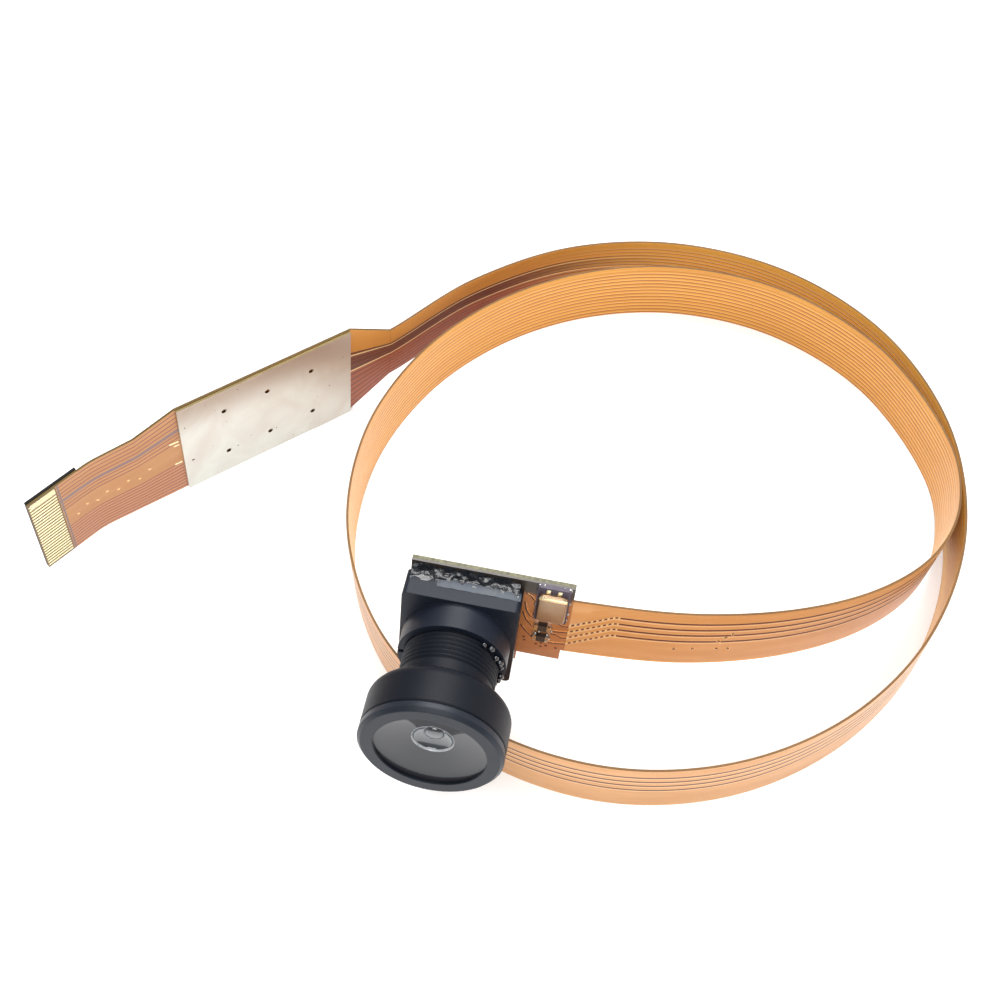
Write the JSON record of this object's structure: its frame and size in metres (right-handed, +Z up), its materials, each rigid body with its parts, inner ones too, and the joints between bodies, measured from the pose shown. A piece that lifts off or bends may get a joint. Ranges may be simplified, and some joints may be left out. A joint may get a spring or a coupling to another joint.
{
  "type": "camera module",
  "caption": "Wide-angle lens and image sensor on a long flexible strip that stands on its edge in a loop and ends in a stiffened contact end.",
  "frame": {"origin": "centre of the whole module's footprint, on the surface that the strip stands on", "axes": "+Z up, the lens looks along -Y and a little upwards, the contact end lies towards -X"},
  "size_m": [0.0964, 0.0722, 0.0226],
  "materials": {
    "holder_plastic": "fine matt moulded",
    "barrel_plastic": "turned, faint sheen",
    "ring_plastic": "satin",
    "front_glass": "polished and coated",
    "inner_black": "dead matt",
    "inner_glass": "polished",
    "filter_glass": "polished and coated",
    "sensor_ceramic": "matt fired ceramic",
    "sensor_cover": "polished",
    "flex_film": "amber film over copper traces",
    "stiffener_board": "cut fibreglass board",
    "crystal_ceramic": "fired ceramic",
    "crystal_metal": "rolled metal lid",
    "gold_plate": "gold plated",
    "chip_ceramic": "fired ceramic",
    "solder_metal": "tinned",
    "black_glue": "cured, glossy",
    "plate_steel": "brushed",
    "end_backing": "matt film"
  },
  "bodies": {
    "root": {"lens_holder": "holder_plastic", "lens_barrel": "barrel_plastic", "front_ring": "ring_plastic", "front_lens": "front_glass", "light_baffle": "inner_black", "second_lens": "inner_glass", "spacer_ring": "inner_black", "aperture_stop": "inner_black", "third_lens": "inner_glass", "rear_lens": "inner_glass", "rear_retainer": "inner_black", "infrared_filter": "filter_glass", "sensor_package": "sensor_ceramic", "sensor_glass": "sensor_cover", "head_circuit": "flex_film", "head_stiffener": "stiffener_board", "crystal_base": "crystal_ceramic", "crystal_lid": "crystal_metal", "crystal_pads": "gold_plate", "chip_bodies": "chip_ceramic", "chip_ends": "solder_metal", "holder_glue": "black_glue", "thread_glue": "black_glue", "flex_strip": "flex_film", "flex_tail": "flex_film", "steel_plate": "plate_steel", "end_stiffener": "end_backing", "contact_fingers": "gold_plate"}
  },
  "joints": []
}
